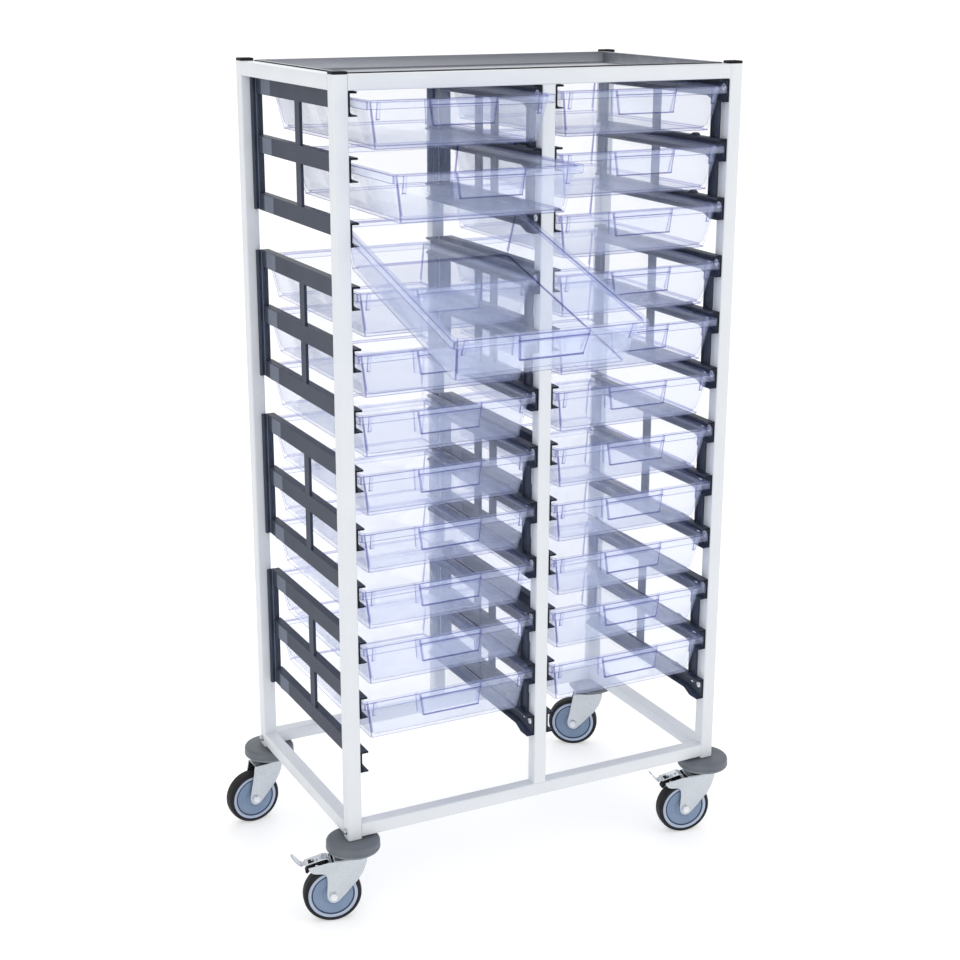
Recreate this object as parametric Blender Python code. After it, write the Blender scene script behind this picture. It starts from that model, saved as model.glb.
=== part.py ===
"""Two-column hospital tray trolley: welded tube frame, runner panels, sliding trays, swivel castors.

Metres, +Z up, front is -Y. Dimensions count X from the left face, Y from the front face and Z from the floor.
The root empty then moves the whole trolley so that the middle of its base is the world origin.
"""
import math

import bmesh
import bpy
from mathutils import Matrix, Vector

# Frame
WIDTH = 0.915
DEPTH = 0.540
TUBE = 0.030
TUBE_WALL = 0.002
POST_BOTTOM = 0.186
POST_TOP = 1.759
RAIL_INSET = 0.0002
CENTRE_POST_INSET = 0.0004
WELD_OVERLAP = 0.005
BOTTOM_RAIL_LIFT = 0.0035
BORE_OVERRUN = 0.010

# Fits
SEAT_GAP = 0.0003
RUNNING_GAP = 0.0003

# End caps
CAP_HEIGHT = 0.0045
CAP_CHAMFER = 0.0012
CAP_PLUG_DEPTH = 0.012

# Top deck
DECK_SHEET = 0.0015
DECK_DEPTH = 0.021
DECK_LIP_DROP = 0.0005

# Runner panels
TIERS = 4
ROWS_PER_PANEL = 3
PANEL_TOP_GAP = 0.001
PANEL_FRONT = 0.002
PANEL_REAR = DEPTH - TUBE - SEAT_GAP
WEB = 0.004
RUNNER_WIDTH = 0.018
RUNNER_HEIGHT = 0.0465
BAR_HEIGHT = 0.036
FLANGE = 0.004
LEDGE_TOP = 0.0293
LEDGE_FLAT_END = 0.0105
LEDGE_TIP = 0.0025
DIP_LENGTH = 0.054
TILT_DEG = 15.5
MEMBER_IN = 0.0005
MEMBER_OUT = 0.0035
MEMBER_INSET = 0.002
FRONT_MEMBER_WIDTH = 0.0295
FRONT_MEMBER_LAP = 0.005
FRONT_MEMBER_START = PANEL_FRONT + TUBE - FRONT_MEMBER_LAP
FRONT_MEMBER = (FRONT_MEMBER_START, FRONT_MEMBER_START + FRONT_MEMBER_WIDTH)
MID_WIDTH = 0.026
MID_MEMBER = ((DEPTH - MID_WIDTH) / 2, (DEPTH + MID_WIDTH) / 2)
MID_RIB_OUT = 0.0072
COLUMN_WRAP = 0.0114
COLUMN_IN = 0.0055
COLUMN_DEPTH = 0.009
COLUMN_RIB_OUT = 0.0126
RIB_INSET = 0.0005
BASE_ROOM = 0.1175
RAIL_TOP = POST_BOTTOM + BOTTOM_RAIL_LIFT + TUBE
FIRST_ROW_TOP = POST_TOP - TUBE - PANEL_TOP_GAP
PITCH = (FIRST_ROW_TOP - RUNNER_HEIGHT - BASE_ROOM - RAIL_TOP) / (TIERS * ROWS_PER_PANEL - 1)

# Trays
TRAY_ROWS = 11
TRAY_SIDE_ROOM = 0.00625
TRAY_WIDTH = (WIDTH - 3 * TUBE) / 2 - 2 * TRAY_SIDE_ROOM
TRAY_FRONT = -0.005
TRAY_REAR_ROOM = 0.015
TRAY_LENGTH = DEPTH - TRAY_REAR_ROOM - TRAY_FRONT
STACK_GAP = 0.030
TRAY_HEIGHT = PITCH - STACK_GAP
TRAY_WALL = 0.0025
TRAY_FLOOR = 0.003
LIP_HEIGHT = 0.0165
LIP_THICKNESS = 0.003
RIM_THICKNESS = 0.003
RIM_OVERHANG = 0.0095
FLOOR_INSET = 0.026
RIM_RADIUS = 0.010
WALL_RADIUS = 0.009
FLOOR_RADIUS = 0.008
CORNER_POINTS = 4
TILT_HOLD = 0.092
PULLED_OUT = {"l01": 0.062, "l02": 0.176, "l03": TRAY_LENGTH - TILT_HOLD}
TILTED_TRAY = "l03"

# Tray handle
HANDLE_TOP_HALF = 0.075
HANDLE_BOTTOM_HALF = 0.068
HANDLE_FLARE = 0.006
HANDLE_HEIGHT = 0.049
HANDLE_PROUD = 0.002
HANDLE_WALL = 0.0028
HANDLE_TOP_ROOT = 0.0105
HANDLE_BOTTOM_ROOT = 0.0192

# Castors
WHEEL_RADIUS = 0.0625
TRAIL = 0.047
BUFFER_RADIUS = 0.058
BUFFER_HEIGHT = 0.025
BUFFER_CORNER = (0.0075, 0.003, 0.002, 0.009)
STEM_RADIUS = 0.006
STEM_TOP = 0.215
STEM_FOOT = 0.150
RACE_RADIUS = 0.025
RACE_BOTTOM = 0.142
RACE_TOP = 0.1585
CROWN_REAR = -0.033
CROWN_FRONT = 0.0280
CROWN_HALF = 0.0205
CROWN_BOTTOM = 0.1385
CROWN_TOP = 0.1450
LEG_INNER = 0.018
LEG_SHEET = 0.003
LEG_LOW = ((-0.0608, 0.0660), (-0.0575, 0.0530), (-0.0465, 0.0462), (-0.0340, 0.0500))
LEG_FRONT = ((0.0070, 0.0930), (0.0195, 0.1110), (0.0285, 0.1360), (0.0285, 0.1445))
PLAIN_LEG = ((-0.0460, 0.1445), (-0.0535, 0.1035), *LEG_LOW, *LEG_FRONT)
BRAKED_LEG = (
    (-0.0550, 0.1425), (-0.0985, 0.1342), (-0.0920, 0.1215), (-0.0680, 0.1170), (-0.0605, 0.1100),
    (-0.0585, 0.0950), *LEG_LOW, *LEG_FRONT,
)
CASTOR_TURN_DEG = {"fl": -13.6, "fr": -10.9, "rl": 4.1, "rr": -30.6}
AXLE_RADIUS = 0.005
AXLE_HALF = 0.029
NUT_RADIUS = 0.0085
NUT_OVERLAP = 0.0005
NUT_HEIGHT = 0.006
HUB_RADIUS = 0.0125
WHEEL_SECTION = ((0.0160, 0.011), (0.0450, 0.011), (0.0480, 0.0155), (0.0575, 0.0155), (WHEEL_RADIUS, 0.0075))
ROUND_STEPS = 24
PIN_STEPS = 12
HEX = 6

# Brake pedal
PEDAL_PIVOT = (-0.0500, 0.1370)
PEDAL_BARREL = 0.004
PEDAL_HALF = 0.014
PEDAL_SHEET = 0.003
PEDAL_LINE = (
    (-0.0505, 0.1370), (-0.0580, 0.1480), (-0.0800, 0.1440), (-0.1010, 0.1385), (-0.1100, 0.1360),
    (-0.1190, 0.1425), (-0.1325, 0.1590),
)
BRAKED = ("fl", "fr")

# Shading: edges that turn less than this are drawn smooth
SMOOTH_DEG = 40.0

MATERIALS = {
    "powder_coat": ((0.80, 0.82, 0.85), 0.38, 0.0),
    "stainless": ((0.50, 0.51, 0.55), 0.36, 1.0),
    "black_plastic": ((0.012, 0.012, 0.014), 0.45, 0.0),
    "runner_plastic": ((0.045, 0.052, 0.068), 0.48, 0.0),
    "clear_plastic": ((0.62, 0.64, 0.84), 0.12, 0.0),
    "buffer_plastic": ((0.16, 0.175, 0.185), 0.50, 0.0),
    "zinc_steel": ((0.62, 0.63, 0.65), 0.32, 1.0),
    "wheel_rubber": ((0.05, 0.05, 0.058), 0.60, 0.0),
}


def clear_scene():
    for obj in list(bpy.data.objects):
        bpy.data.objects.remove(obj, do_unlink=True)


def make_materials():
    made = {}
    for name, (colour, roughness, metallic) in MATERIALS.items():
        mat = bpy.data.materials.new(name)
        mat.use_nodes = True
        shader = mat.node_tree.nodes["Principled BSDF"]
        shader.inputs["Base Color"].default_value = (*colour, 1.0)
        shader.inputs["Roughness"].default_value = roughness
        shader.inputs["Metallic"].default_value = metallic
        mat.diffuse_color = (*colour, 1.0)
        made[name] = mat
    return made


def to_mesh(name, points, faces):
    bm = bmesh.new()
    verts = [bm.verts.new(p) for p in points]
    for face in faces:
        bm.faces.new([verts[i] for i in face])
    bmesh.ops.recalc_face_normals(bm, faces=bm.faces)
    mesh = bpy.data.meshes.new(name)
    bm.to_mesh(mesh)
    bm.free()
    return mesh


def loft(name, rings):
    """Closed body through rings of equal point counts, with both end rings capped."""
    count = len(rings[0])
    points = [p for ring in rings for p in ring]
    faces = [list(range(count)), list(range(len(points) - count, len(points)))]
    for r in range(len(rings) - 1):
        for i in range(count):
            j = (i + 1) % count
            faces.append([r * count + i, r * count + j, (r + 1) * count + j, (r + 1) * count + i])
    return to_mesh(name, points, faces)


def box(name, lo, hi):
    low = [(lo[0], lo[1], lo[2]), (hi[0], lo[1], lo[2]), (hi[0], hi[1], lo[2]), (lo[0], hi[1], lo[2])]
    high = [(x, y, hi[2]) for x, y, _ in low]
    return loft(name, [low, high])


def round_bar(name, radius, start, end, steps, axis):
    """Bar of the given number of sides along Y or Z, from start to end on that axis."""
    rings = []
    for level in (start, end):
        turns = [math.tau * (k + 0.5) / steps for k in range(steps)]
        flat = [(radius * math.cos(a), radius * math.sin(a)) for a in turns]
        rings.append([(u, level, v) if axis == "Y" else (u, v, level) for u, v in flat])
    return loft(name, rings)


def lathe(name, section, steps, axis):
    """Turns a closed section of (radius, height) points about Y or Z."""
    points = []
    for k in range(steps):
        turn = math.tau * (k + 0.5) / steps - math.pi / 2
        for radius, height in section:
            u, v = radius * math.cos(turn), radius * math.sin(turn)
            points.append((u, height, v) if axis == "Y" else (u, v, height))
    count = len(section)
    faces = []
    for k in range(steps):
        after = (k + 1) % steps
        for i in range(count):
            j = (i + 1) % count
            faces.append([k * count + i, k * count + j, after * count + j, after * count + i])
    return to_mesh(name, points, faces)


def combine(name, base, added=(), removed=()):
    """One mesh from a base mesh, with others joined to it and then others cut from it."""
    helpers = [bpy.data.objects.new(name + "_base", base)]
    for operation, meshes in (("UNION", added), ("DIFFERENCE", removed)):
        for mesh in meshes:
            helper = bpy.data.objects.new(mesh.name, mesh)
            helpers.append(helper)
            modifier = helpers[0].modifiers.new(mesh.name, "BOOLEAN")
            modifier.operation = operation
            modifier.solver = "EXACT"
            modifier.object = helper
    for helper in helpers:
        bpy.context.scene.collection.objects.link(helper)
    bpy.context.view_layer.update()
    graph = bpy.context.evaluated_depsgraph_get()
    result = bpy.data.meshes.new_from_object(helpers[0].evaluated_get(graph))
    result.name = name
    for helper in helpers:
        bpy.data.objects.remove(helper, do_unlink=True)
    return result


def mirrored(mesh, name):
    flipped = mesh.copy()
    flipped.name = name
    flipped.transform(Matrix.Scale(-1.0, 4, Vector((1.0, 0.0, 0.0))))
    flipped.flip_normals()
    return flipped


def rounded_rectangle(inset, z, radius):
    """Points of a tray ring, counted from the middle of the tray's width and its front edge."""
    half = TRAY_WIDTH / 2 - inset
    near, far = inset, TRAY_LENGTH - inset
    corners = (
        (half - radius, near + radius, -0.25), (half - radius, far - radius, 0.0),
        (radius - half, far - radius, 0.25), (radius - half, near + radius, 0.5),
    )
    ring = []
    for x, y, start in corners:
        for k in range(CORNER_POINTS):
            turn = math.tau * (start + 0.25 * k / (CORNER_POINTS - 1))
            ring.append((x + radius * math.cos(turn), y + radius * math.sin(turn), z))
    return ring


def tray_mesh():
    bottom = LIP_HEIGHT - TRAY_HEIGHT
    rim_under = LIP_HEIGHT - RIM_THICKNESS
    shell = loft("tray_shell", [
        rounded_rectangle(FLOOR_INSET, bottom, FLOOR_RADIUS),
        rounded_rectangle(RIM_OVERHANG, rim_under, WALL_RADIUS),
        rounded_rectangle(LIP_THICKNESS, rim_under, RIM_RADIUS - LIP_THICKNESS),
        rounded_rectangle(LIP_THICKNESS, 0.0, RIM_RADIUS - LIP_THICKNESS),
        rounded_rectangle(0.0, 0.0, RIM_RADIUS),
        rounded_rectangle(0.0, LIP_HEIGHT, RIM_RADIUS),
        rounded_rectangle(RIM_OVERHANG + TRAY_WALL, LIP_HEIGHT, WALL_RADIUS - TRAY_WALL),
        rounded_rectangle(FLOOR_INSET + TRAY_WALL, bottom + TRAY_FLOOR, FLOOR_RADIUS - TRAY_WALL),
    ])
    levels = (
        (LIP_HEIGHT - HANDLE_HEIGHT, HANDLE_BOTTOM_HALF, HANDLE_BOTTOM_ROOT),
        (LIP_HEIGHT - RIM_THICKNESS / 2, HANDLE_TOP_HALF, HANDLE_TOP_ROOT),
    )
    rings = []
    for z, half, root in levels:
        face = half - HANDLE_FLARE
        outer = [(-half, root), (-face, -HANDLE_PROUD), (face, -HANDLE_PROUD), (half, root)]
        back = HANDLE_WALL - HANDLE_PROUD
        inner = [(half - HANDLE_WALL, root), (face - HANDLE_WALL, back)]
        inner += [(-x, y) for x, y in reversed(inner)]
        rings.append([(x, y, z) for x, y in outer + inner])
    return combine("tray", shell, added=[loft("tray_handle", rings)])


def runner_mesh(name, top):
    """C-shaped runner along Y: deep beside the front post, where its ledge dips so that a tray can tilt."""
    fall = math.tan(math.radians(TILT_DEG))
    dip_end = PANEL_FRONT + DIP_LENGTH
    stations = (
        (PANEL_FRONT, RUNNER_HEIGHT), (PANEL_FRONT + TUBE, RUNNER_HEIGHT),
        (dip_end, BAR_HEIGHT), (PANEL_REAR - MEMBER_INSET, BAR_HEIGHT),
    )
    rings = []
    for y, depth in stations:
        ledge = LEDGE_TOP + max(dip_end - y, 0.0) * fall
        section = (
            (0.0, 0.0), (0.0, depth), (RUNNER_WIDTH, depth), (RUNNER_WIDTH, depth - LEDGE_TIP),
            (LEDGE_FLAT_END, ledge), (WEB, ledge), (WEB, FLANGE), (RUNNER_WIDTH, FLANGE), (RUNNER_WIDTH, 0.0),
        )
        rings.append([(x, y, top - drop) for x, drop in section])
    return loft(name, rings)


def panel_mesh(name):
    """Three runners on two upright members, with a column behind that wraps in front of the rear post."""
    runners = [runner_mesh(f"{name}_runner{row}", -row * PITCH) for row in range(ROWS_PER_PANEL)]
    foot = -(ROWS_PER_PANEL - 1) * PITCH - BAR_HEIGHT + MEMBER_INSET
    members = [
        box(f"{name}_member{k}", (MEMBER_IN, y0, foot), (MEMBER_OUT, y1, -MEMBER_INSET))
        for k, (y0, y1) in enumerate((FRONT_MEMBER, MID_MEMBER))
    ]
    column = (PANEL_REAR - COLUMN_DEPTH, PANEL_REAR)
    members.append(box(f"{name}_column", (-COLUMN_WRAP, column[0], foot), (COLUMN_IN, column[1], -RIB_INSET)))
    for row in range(ROWS_PER_PANEL - 1):
        high, low = -row * PITCH - BAR_HEIGHT + RIB_INSET, -(row + 1) * PITCH - MEMBER_INSET
        for k, ((y0, y1), reach) in enumerate(((MID_MEMBER, MID_RIB_OUT), (column, COLUMN_RIB_OUT))):
            lo = (MEMBER_IN + RIB_INSET, y0 + RIB_INSET, low)
            members.append(box(f"{name}_rib{row}{k}", lo, (reach, y1 - RIB_INSET, high)))
    return combine(name, runners[0], added=members + runners[1:])


def tube_pair(name, lo, hi, axis, bore_start, bore_end, inset):
    """Outer body of a square tube and the core that hollows it."""
    wall = TUBE_WALL + inset
    core_lo = [v + wall for v in lo]
    core_hi = [v - wall for v in hi]
    core_lo[axis], core_hi[axis] = bore_start, bore_end
    return box(name, lo, hi), box(name + "_core", core_lo, core_hi)


def frame_mesh():
    outers, cores = [], []

    def add(name, lo, hi, axis, bore, inset=0.0):
        lo = [v if k == axis else v + inset for k, v in enumerate(lo)]
        hi = [v if k == axis else v - inset for k, v in enumerate(hi)]
        outer, core = tube_pair(name, lo, hi, axis, bore[0], bore[1], inset)
        outers.append(outer)
        cores.append(core)

    far_x, far_y = WIDTH - TUBE, DEPTH - TUBE
    low, high = POST_BOTTOM + BOTTOM_RAIL_LIFT, POST_TOP - TUBE
    through = (POST_BOTTOM - BORE_OVERRUN, POST_TOP + BORE_OVERRUN)
    for x in (0.0, far_x):
        for y in (0.0, far_y):
            add("post", (x, y, POST_BOTTOM), (x + TUBE, y + TUBE, POST_TOP), 2, through)
    inner = TUBE - WELD_OVERLAP
    for z in (low, high):
        for y in (0.0, far_y):
            span = (TUBE / 2, WIDTH - TUBE / 2)
            add("long_rail", (inner, y, z), (WIDTH - inner, y + TUBE, z + TUBE), 0, span, RAIL_INSET)
        for x in (0.0, far_x):
            span = (TUBE / 2, DEPTH - TUBE / 2)
            add("side_rail", (x, inner, z), (x + TUBE, DEPTH - inner, z + TUBE), 1, span, RAIL_INSET)
    middle = (WIDTH - TUBE) / 2
    for y in (0.0, far_y):
        lo = (middle, y, low + inner)
        hi = (middle + TUBE, y + TUBE, high + WELD_OVERLAP)
        add("centre_post", lo, hi, 2, (low + TUBE / 2, high + TUBE / 2), CENTRE_POST_INSET)
    return combine("frame", outers[0], added=outers[1:], removed=cores)


def deck_mesh():
    """Open sheet dish that fills the space between the top rails."""
    lo = TUBE - RAIL_INSET + SEAT_GAP
    top, floor = POST_TOP - DECK_LIP_DROP, POST_TOP - DECK_DEPTH

    def ring(inset, z):
        x0, y0 = lo + inset, lo + inset
        x1, y1 = WIDTH - x0, DEPTH - y0
        return [(x0, y0, z), (x1, y0, z), (x1, y1, z), (x0, y1, z)]

    return loft("top_deck", [
        ring(0.0, floor - DECK_SHEET), ring(0.0, top), ring(DECK_SHEET, top), ring(DECK_SHEET, floor),
    ])


def cap_mesh():
    half = TUBE / 2
    plug = half - TUBE_WALL - SEAT_GAP

    def ring(size, z):
        return [(-size, -size, z), (size, -size, z), (size, size, z), (-size, size, z)]

    return loft("end_cap", [
        ring(plug, -CAP_PLUG_DEPTH), ring(plug, SEAT_GAP), ring(half, SEAT_GAP),
        ring(half, CAP_HEIGHT - CAP_CHAMFER), ring(half - CAP_CHAMFER, CAP_HEIGHT),
    ])


def buffer_mesh():
    bore = STEM_RADIUS + RUNNING_GAP
    wide, low, narrow, high = BUFFER_CORNER
    r, h = BUFFER_RADIUS, BUFFER_HEIGHT
    section = (
        (bore, 0.0), (r - wide, 0.0), (r - narrow, low), (r, high),
        (r, h - high), (r - narrow, h - low), (r - wide, h), (bore, h),
    )
    return lathe("buffer", section, ROUND_STEPS, "Z")


def fork_mesh(name, outline):
    """Pressed fork with its swivel stem and axle bolt, counted from the swivel axis at the floor."""
    crown = box("crown", (CROWN_REAR, -CROWN_HALF, CROWN_BOTTOM), (CROWN_FRONT, CROWN_HALF, CROWN_TOP))
    pieces = [round_bar("race", RACE_RADIUS, RACE_BOTTOM, RACE_TOP, ROUND_STEPS, "Z")]
    pieces.append(round_bar("stem", STEM_RADIUS, STEM_FOOT, STEM_TOP, PIN_STEPS, "Z"))
    for side in (-1.0, 1.0):
        near, far = side * LEG_INNER, side * (LEG_INNER + LEG_SHEET)
        pieces.append(loft("leg", [[(x, y, z) for x, z in outline] for y in (near, far)]))
    centre = Matrix.Translation((-TRAIL, 0.0, WHEEL_RADIUS))
    axle = [round_bar("axle", AXLE_RADIUS, -AXLE_HALF, AXLE_HALF, PIN_STEPS, "Y")]
    for side in (-1.0, 1.0):
        start = LEG_INNER + LEG_SHEET - NUT_OVERLAP
        axle.append(round_bar("nut", NUT_RADIUS, side * start, side * (start + NUT_HEIGHT), HEX, "Y"))
    for mesh in axle:
        mesh.transform(centre)
    return combine(name, crown, added=pieces + axle)


def wheel_mesh():
    bore = AXLE_RADIUS + RUNNING_GAP
    hub = LEG_INNER - RUNNING_GAP
    side = [(bore, hub), (HUB_RADIUS, hub), *WHEEL_SECTION]
    section = side + [(r, -y) for r, y in reversed(side)]
    return lathe("wheel", section, ROUND_STEPS, "Y")


def pedal_mesh():
    """Bent foot plate on its barrel, counted from the barrel's axis."""
    pivot = Vector(PEDAL_PIVOT)
    line = [Vector(p) - pivot for p in PEDAL_LINE]
    under, over = [], []
    for k, point in enumerate(line):
        along = (line[min(k + 1, len(line) - 1)] - line[max(k - 1, 0)]).normalized()
        across = Vector((-along.y, along.x)) * PEDAL_SHEET / 2
        under.append(point + across)
        over.append(point - across)
    outline = under + over[::-1]
    plate = loft("plate", [[(p.x, y, p.y) for p in outline] for y in (-PEDAL_HALF, PEDAL_HALF)])
    half = LEG_INNER - RUNNING_GAP
    barrel = round_bar("barrel", PEDAL_BARREL, -half, half, PIN_STEPS, "Y")
    return combine("pedal", barrel, added=[plate])


def empty(name, location, parent):
    obj = bpy.data.objects.new(name, None)
    obj.location = location
    obj.parent = parent
    bpy.context.scene.collection.objects.link(obj)
    return obj


def place(name, mesh, material, parent, location=(0.0, 0.0, 0.0)):
    obj = bpy.data.objects.new(name, mesh)
    obj.parent = parent
    obj.location = location
    if not mesh.materials:
        mesh.materials.append(material)
        mesh.shade_smooth()
        mesh.set_sharp_from_angle(angle=math.radians(SMOOTH_DEG))
    bpy.context.scene.collection.objects.link(obj)
    return obj


def row_top(row):
    """Height of the top flange of a runner row, counted from 0."""
    return FIRST_ROW_TOP - row * PITCH


def place_panels(root, material):
    panel = panel_mesh("panel")
    facing = {1.0: panel, -1.0: mirrored(panel, "panel_m")}
    middle = WIDTH / 2
    half = TUBE / 2 - CENTRE_POST_INSET
    stacks = (
        ("left_outer", TUBE + SEAT_GAP, 1.0), ("left_centre", middle - half - SEAT_GAP, -1.0),
        ("right_centre", middle + half + SEAT_GAP, 1.0), ("right_outer", WIDTH - TUBE - SEAT_GAP, -1.0),
    )
    for stack, x, side in stacks:
        for tier in range(TIERS):
            where = (x, 0.0, row_top(tier * ROWS_PER_PANEL))
            place(f"panel_{stack}_{tier + 1}", facing[side], material, root, where)


def place_trays(root, material):
    mesh = tray_mesh()
    bay = (WIDTH + TUBE) / 4
    for column, x in (("l", bay), ("r", WIDTH - bay)):
        for row in range(TRAY_ROWS):
            label = f"{column}{row + 1:02d}"
            front = TRAY_FRONT - PULLED_OUT.get(label, 0.0)
            seat = row_top(row) - LEDGE_TOP + SEAT_GAP
            if label != TILTED_TRAY:
                place(f"tray_{label}", mesh, material, root, (x, front, seat))
                continue
            pivot_y = PANEL_FRONT + DIP_LENGTH
            pivot = empty(f"tilt_axis_{label}", (x, pivot_y, seat), root)
            pivot.rotation_euler = (math.radians(TILT_DEG), 0.0, 0.0)
            place(f"tray_{label}", mesh, material, pivot, (0.0, front - pivot_y, 0.0))


def place_castors(root, mats):
    buffer, wheel, pedal = buffer_mesh(), wheel_mesh(), pedal_mesh()
    plain_fork, braked_fork = fork_mesh("fork", PLAIN_LEG), fork_mesh("braked_fork", BRAKED_LEG)
    half = TUBE / 2
    for label, x, y in (
        ("fl", half, half), ("fr", WIDTH - half, half),
        ("rl", half, DEPTH - half), ("rr", WIDTH - half, DEPTH - half),
    ):
        base = POST_BOTTOM - SEAT_GAP - BUFFER_HEIGHT
        place(f"buffer_{label}", buffer, mats["buffer_plastic"], root, (x, y, base))
        swivel = empty(f"swivel_{label}", (x, y, 0.0), root)
        swivel.rotation_euler = (0.0, 0.0, math.radians(CASTOR_TURN_DEG[label]))
        fork = braked_fork if label in BRAKED else plain_fork
        place(f"fork_{label}", fork, mats["zinc_steel"], swivel)
        place(f"wheel_{label}", wheel, mats["wheel_rubber"], swivel, (-TRAIL, 0.0, WHEEL_RADIUS))
        if label in BRAKED:
            where = (PEDAL_PIVOT[0], 0.0, PEDAL_PIVOT[1])
            place(f"brake_{label}", pedal, mats["zinc_steel"], swivel, where)


def centre_on_base(root):
    bpy.context.view_layer.update()
    corners = [
        obj.matrix_world @ vertex.co
        for obj in bpy.data.objects if obj.type == "MESH" for vertex in obj.data.vertices
    ]
    xs, ys, zs = zip(*corners)
    root.location = (-(min(xs) + max(xs)) / 2, -(min(ys) + max(ys)) / 2, -min(zs))


def main():
    clear_scene()
    mats = make_materials()
    root = empty("trolley", (0.0, 0.0, 0.0), None)
    place("frame", frame_mesh(), mats["powder_coat"], root)
    place("top_deck", deck_mesh(), mats["stainless"], root)
    cap = cap_mesh()
    half = TUBE / 2
    for label, x, y in (
        ("fl", half, half), ("fr", WIDTH - half, half),
        ("rl", half, DEPTH - half), ("rr", WIDTH - half, DEPTH - half),
    ):
        place(f"end_cap_{label}", cap, mats["black_plastic"], root, (x, y, POST_TOP))
    place_panels(root, mats["runner_plastic"])
    place_trays(root, mats["clear_plastic"])
    place_castors(root, mats)
    centre_on_base(root)


main()
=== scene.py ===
"""Looks of the two-column hospital tray trolley: finer pieces, finishes, light and camera.

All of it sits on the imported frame. Metres, +Z up, front is -Y. Dimensions count X from the left face,
Y from the front face and Z from the floor, as in the part. ORIGIN is where that corner lies in the frame.
"""
import math

import bmesh
import bpy
from mathutils import Matrix, Vector


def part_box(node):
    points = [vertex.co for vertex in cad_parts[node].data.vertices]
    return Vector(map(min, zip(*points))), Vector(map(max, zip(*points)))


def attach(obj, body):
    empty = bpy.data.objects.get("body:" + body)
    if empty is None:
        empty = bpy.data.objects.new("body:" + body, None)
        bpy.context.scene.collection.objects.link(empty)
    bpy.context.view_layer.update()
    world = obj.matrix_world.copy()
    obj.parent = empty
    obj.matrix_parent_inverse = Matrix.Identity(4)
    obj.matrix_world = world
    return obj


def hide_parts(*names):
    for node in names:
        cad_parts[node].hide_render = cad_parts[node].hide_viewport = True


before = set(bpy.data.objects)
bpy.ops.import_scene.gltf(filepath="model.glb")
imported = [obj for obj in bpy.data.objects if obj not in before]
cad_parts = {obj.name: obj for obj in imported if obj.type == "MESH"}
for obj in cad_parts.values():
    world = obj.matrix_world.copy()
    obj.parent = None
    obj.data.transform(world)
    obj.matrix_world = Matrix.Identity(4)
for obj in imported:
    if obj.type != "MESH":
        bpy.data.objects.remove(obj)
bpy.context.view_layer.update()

# Frame
WIDTH = 0.915
DEPTH = 0.540
TUBE = 0.030
TUBE_CORNER = 0.0028
POST_BOTTOM = 0.186
POST_TOP = 1.759
RAIL_INSET = 0.0002
CENTRE_INSET = 0.0004
BOTTOM_RAIL_LIFT = 0.0035
RAIL_TOP = POST_BOTTOM + BOTTOM_RAIL_LIFT + TUBE
WELD = 0.0030
SEAT_GAP = 0.0003
ORIGIN = Vector(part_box("frame")[0]) - Vector((0.0, 0.0, POST_BOTTOM))

# Posts, by the labels of their castors
HALF_TUBE = TUBE / 2
CORNERS = {
    "fl": (HALF_TUBE, HALF_TUBE), "fr": (WIDTH - HALF_TUBE, HALF_TUBE),
    "rl": (HALF_TUBE, DEPTH - HALF_TUBE), "rr": (WIDTH - HALF_TUBE, DEPTH - HALF_TUBE),
}

# End caps and cross bolts
CAP_HEIGHT = 0.0062
BOLT_LIFT = 0.017
BOLT_HEIGHT = POST_BOTTOM + BOLT_LIFT

# Top deck
DECK_SHEET = 0.0015
DECK_DEPTH = 0.021
DECK_CORNER = 0.0012
DECK_FOLD = 0.004
HEM_RISE = 0.0024
# The bead between the rails and the deck's hem is black: painted shade of the gap there.
GAP_SHADE_WIDTH = 0.0024
GAP_SHADE_RISE = 0.0015
GAP_SHADE_PLAY = 0.0001
SEAM_SIZE = 0.0014

# Runner panels
TIERS = 4
ROWS_PER_PANEL = 3
PANEL_FRONT = 0.002
PANEL_REAR = DEPTH - TUBE - SEAT_GAP
WEB = 0.004
RUNNER_WIDTH = 0.018
RUNNER_HEIGHT = 0.0465
BAR_HEIGHT = 0.036
FLANGE = 0.004
LEDGE_TOP = 0.0293
LEDGE_FLAT_END = 0.0105
LEDGE_TIP = 0.0025
LEDGE_FILLET = (0.0017, 0.0065)
DIP_LENGTH = 0.054
TILT_DEG = 15.5
MEMBER_IN = 0.0005
MEMBER_OUT = 0.0035
FRONT_MEMBER_WIDTH = 0.0295
FRONT_MEMBER_LAP = 0.005
FRONT_MEMBER_START = PANEL_FRONT + TUBE - FRONT_MEMBER_LAP
FRONT_MEMBER = (FRONT_MEMBER_START, FRONT_MEMBER_START + FRONT_MEMBER_WIDTH)
MID_WIDTH = 0.026
MID_MEMBER = ((DEPTH - MID_WIDTH) / 2, (DEPTH + MID_WIDTH) / 2)
MID_RIB_OUT = 0.0072
COLUMN_WRAP = 0.0114
COLUMN_IN = 0.0055
COLUMN_DEPTH = 0.009
COLUMN_FRONT = PANEL_REAR - COLUMN_DEPTH
COLUMN_RIB_OUT = 0.0126
RUNNER_END_ROOM = 0.002
RIB_INSET = 0.0005
RIB_SHEET = 0.0025
PAD = (0.411, 0.467)
PAD_PROUD = 0.0026
PAD_INSET = 0.0008
SCREW_SETBACK = 0.014
SCREW_DROP = 0.0165
PANEL_TOP_GAP = 0.001
BASE_ROOM = 0.1175
FIRST_ROW_TOP = POST_TOP - TUBE - PANEL_TOP_GAP
PITCH = (FIRST_ROW_TOP - RUNNER_HEIGHT - BASE_ROOM - RAIL_TOP) / (TIERS * ROWS_PER_PANEL - 1)
SLOT = (0.038, 0.052)
SLOT_DROP = (0.018, 0.022)
SLOT_LAP = 0.0010
SLOT_SHRINK = 0.0002

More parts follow.
